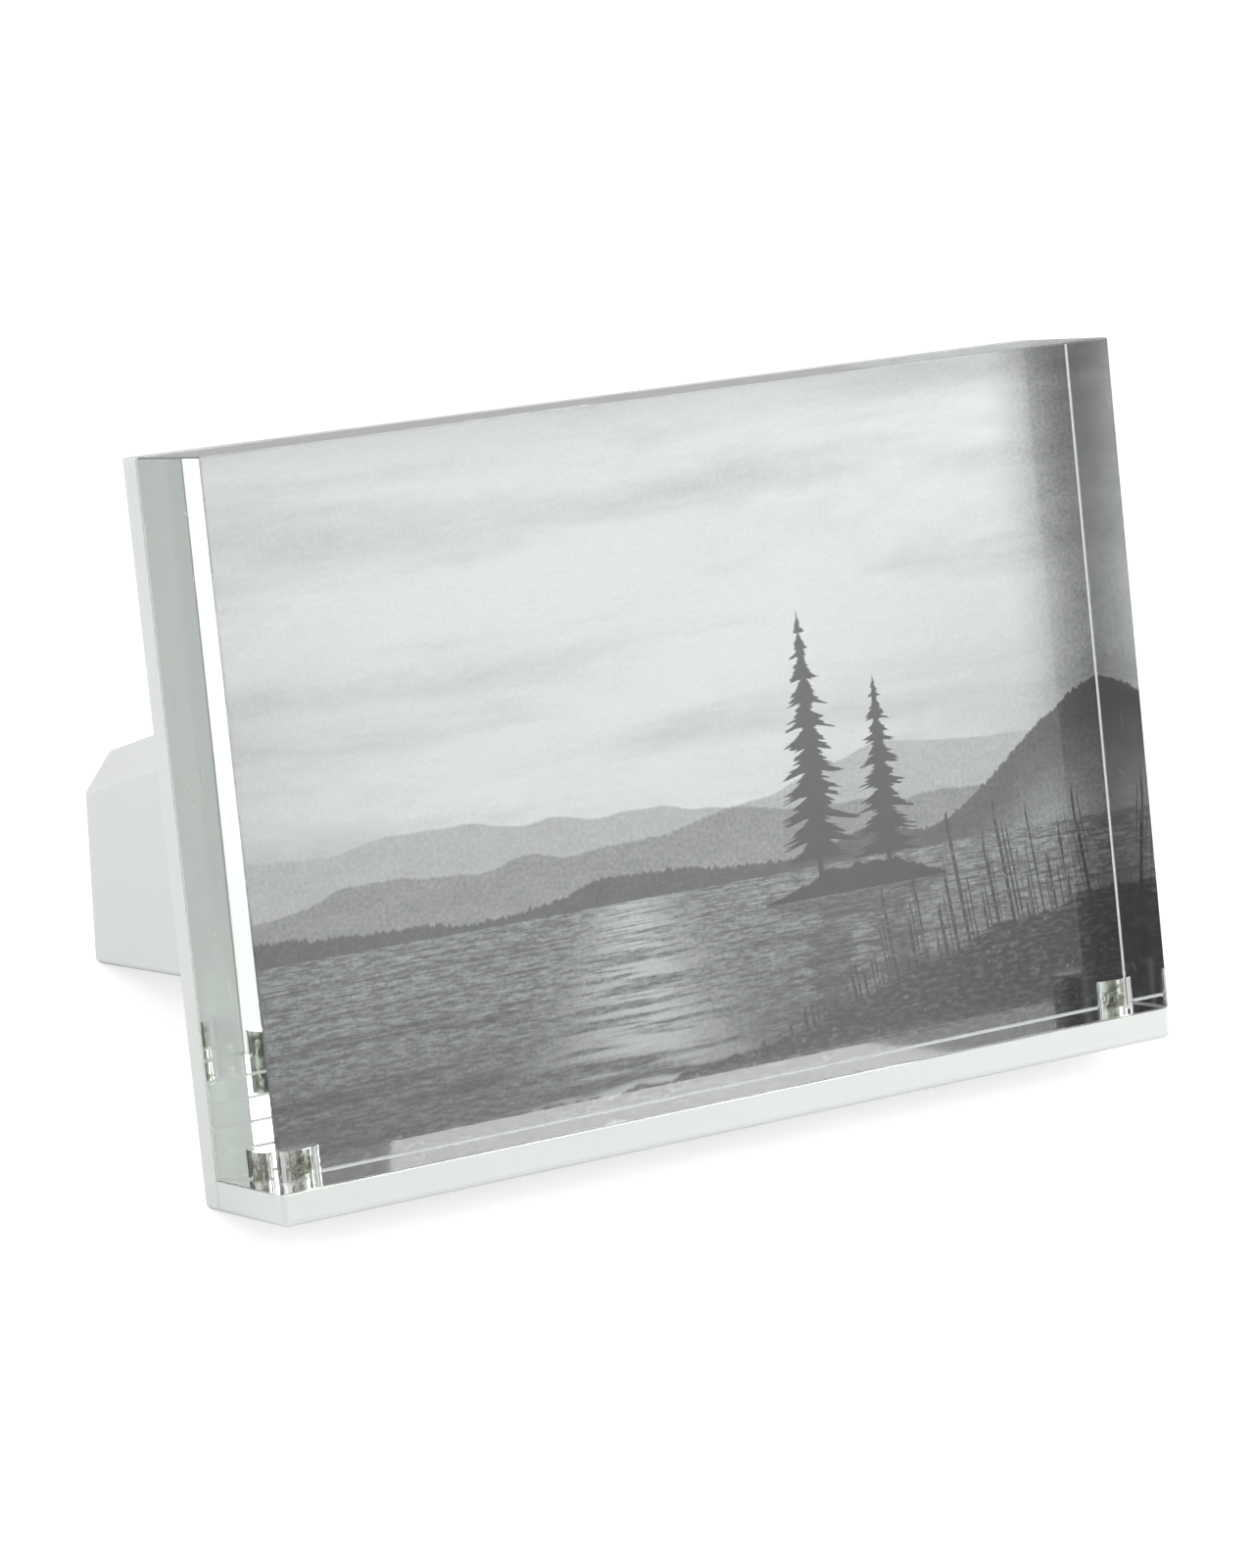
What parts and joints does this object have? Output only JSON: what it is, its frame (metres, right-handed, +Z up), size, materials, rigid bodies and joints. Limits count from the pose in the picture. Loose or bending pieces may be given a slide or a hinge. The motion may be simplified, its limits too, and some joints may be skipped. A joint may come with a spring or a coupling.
{
  "type": "acrylic block picture frame",
  "caption": "Tabletop picture frame: a clear solid block held by magnets on a white ledge before a white back plate, a print between them and a leg behind one corner.",
  "frame": {"origin": "middle of the object's footprint, on the surface it stands on", "axes": "+X to the right along the frame's length, +Y to the back, +Z up; the block's front faces -Y and leans back"},
  "size_m": [0.1524, 0.1112, 0.1077],
  "materials": {
    "clear_acrylic": "polished clear acrylic, all faces",
    "white_acrylic": "opal white acrylic, polished faces, soft machined edges",
    "magnet_plating": "nickel plating",
    "photo_paper": "semi-gloss photo paper with a greyscale print"
  },
  "bodies": {
    "stand": {"back_plate": "white_acrylic", "base_ledge": "white_acrylic", "rear_leg": "white_acrylic", "ledge_magnet_left": "magnet_plating", "ledge_magnet_right": "magnet_plating"},
    "block": {"clear_block": "clear_acrylic", "block_magnet_left": "magnet_plating", "block_magnet_right": "magnet_plating"},
    "print": {"photo_print": "photo_paper"}
  },
  "joints": [
    {"name": "block_lift", "type": "slide", "parent": "stand", "child": "block", "axis": [0, 0.2999, 0.954], "range_m": [0, 0.11]},
    {"name": "print_slide", "type": "slide", "parent": "stand", "child": "print", "axis": [0, 0.2999, 0.954], "range_m": [0, 0.11]}
  ]
}
